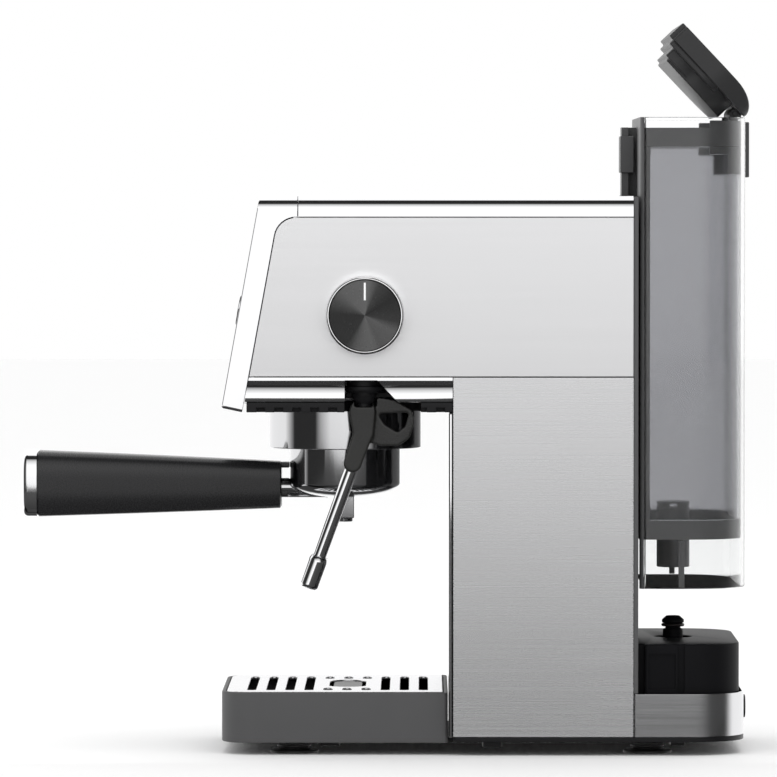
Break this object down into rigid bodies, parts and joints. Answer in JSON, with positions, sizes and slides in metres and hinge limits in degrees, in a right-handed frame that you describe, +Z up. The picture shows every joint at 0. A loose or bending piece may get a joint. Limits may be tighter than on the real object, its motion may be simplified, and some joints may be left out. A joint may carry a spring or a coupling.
{
  "type": "espresso machine",
  "caption": "Slim pump espresso machine with a steel casing, side steam knob and wand, filter holder, drip tray and lift-off rear water tank with a hinged lid.",
  "frame": {"origin": "on the counter, at the centre of the rectangle of the four feet", "axes": "+Z up, -Y to the front where the handle points, +X to the side with the steam knob"},
  "size_m": [0.1688, 0.4064, 0.4036],
  "materials": {
    "aluminium": "cast",
    "black_gloss": "gloss",
    "board": "solder mask",
    "brass": "machined",
    "bright_chrome": "polished",
    "brushed_steel": "brushed along the machine's length",
    "clear_plastic": "clear moulded",
    "dark_plastic": "moulded satin",
    "grey_plastic": "moulded",
    "hose": "translucent white",
    "lamp": "frosted",
    "red_rubber": "matt",
    "rubber": "matt",
    "screw_steel": "plain",
    "smoked_plastic": "smoked moulded",
    "spun_metal": "spun, dark",
    "tray_plastic": "fine moulded texture"
  },
  "bodies": {
    "machine": {"base_plate": "dark_plastic", "feet": "rubber", "screws": "screw_steel", "base_strip": "brushed_steel", "tank_seat": "dark_plastic", "water_inlet_post": "dark_plastic", "inlet_seal": "red_rubber", "cord_gland": "rubber", "inner_frame": "grey_plastic", "left_side_panel": "brushed_steel", "right_side_panel": "brushed_steel", "left_upper_panel": "brushed_steel", "right_upper_panel": "brushed_steel", "column_front": "black_gloss", "column_trims": "bright_chrome", "rear_wall": "grey_plastic", "front_fascia": "bright_chrome", "control_panel": "black_gloss", "indicator_lights": "lamp", "control_board": "board", "top_cover": "bright_chrome", "cup_warmer": "brushed_steel", "head_skirt": "bright_chrome", "head_underside": "dark_plastic", "pump": "aluminium", "pump_mounts": "rubber", "suction_hose": "hose", "brew_pipe": "hose", "boiler": "aluminium", "thermostats": "brass", "group_head": "aluminium", "group_collar": "bright_chrome", "group_gasket": "rubber", "shower_screen": "brushed_steel", "steam_valve": "brass", "steam_pipe": "brass"},
    "power_button": {"power_button": "bright_chrome"},
    "coffee_button": {"coffee_button": "bright_chrome"},
    "steam_button": {"steam_button": "bright_chrome"},
    "knob": {"knob_ring": "bright_chrome", "knob_core": "dark_plastic", "knob_face": "spun_metal", "steam_spindle": "brass"},
    "swivel": {"wand_swivel": "dark_plastic"},
    "wand": {"wand_ball": "dark_plastic", "wand_tube": "bright_chrome", "wand_grip": "rubber", "wand_nozzle": "bright_chrome"},
    "portafilter": {"filter_holder": "bright_chrome", "filter_basket": "brushed_steel", "holder_handle": "bright_chrome", "handle_grip": "dark_plastic", "handle_cap": "bright_chrome"},
    "tray": {"drip_tray": "tray_plastic"},
    "grate": {"drip_grate": "brushed_steel"},
    "float": {"tray_float": "dark_plastic"},
    "tank": {"tank_shell": "clear_plastic", "tank_vessel": "smoked_plastic", "tank_fittings": "grey_plastic"},
    "lid": {"tank_lid": "grey_plastic"}
  },
  "joints": [
    {"name": "power_press", "type": "slide", "parent": "machine", "child": "power_button", "axis": [0, 0.9839, -0.1788], "range_m": [0, 0.002], "stiffness_N_per_m": 400},
    {"name": "coffee_press", "type": "slide", "parent": "machine", "child": "coffee_button", "axis": [0, 0.9839, -0.1788], "range_m": [0, 0.002], "stiffness_N_per_m": 400},
    {"name": "steam_press", "type": "slide", "parent": "machine", "child": "steam_button", "axis": [0, 0.9839, -0.1788], "range_m": [0, 0.002], "stiffness_N_per_m": 400},
    {"name": "steam_knob_turn", "type": "hinge", "parent": "machine", "child": "knob", "pos_m": [0.0766, -0.0585, 0.243], "axis": [1, 0, 0], "range_deg": [0, 270]},
    {"name": "wand_turn", "type": "hinge", "parent": "machine", "child": "swivel", "pos_m": [0.058, -0.0593, 0.1992], "axis": [0, 0, 1], "range_deg": [-20, 50]},
    {"name": "wand_swing", "type": "hinge", "parent": "swivel", "child": "wand", "pos_m": [0.058, -0.0593, 0.1992], "axis": [0, -1, 0], "range_deg": [0, 30]},
    {"name": "portafilter_turn", "type": "hinge", "parent": "machine", "child": "portafilter", "pos_m": [0, -0.0703, 0.175], "axis": [0, 0, 1], "range_deg": [-45, 0]},
    {"name": "tray_slide", "type": "slide", "parent": "machine", "child": "tray", "axis": [0, -1, 0], "range_m": [0, 0.13]},
    {"name": "grate_lift", "type": "slide", "parent": "tray", "child": "grate", "axis": [0, 0, 1], "range_m": [0, 0.03]},
    {"name": "float_rise", "type": "slide", "parent": "tray", "child": "float", "axis": [0, 0, 1], "range_m": [0, 0.006]},
    {"name": "tank_lift", "type": "slide", "parent": "machine", "child": "tank", "axis": [0, 0, 1], "range_m": [-0.0572, 0.075]},
    {"name": "lid_hinge", "type": "hinge", "parent": "tank", "child": "lid", "pos_m": [0, 0.147, 0.354], "axis": [-1, 0, 0], "range_deg": [-46.7, 2]}
  ]
}
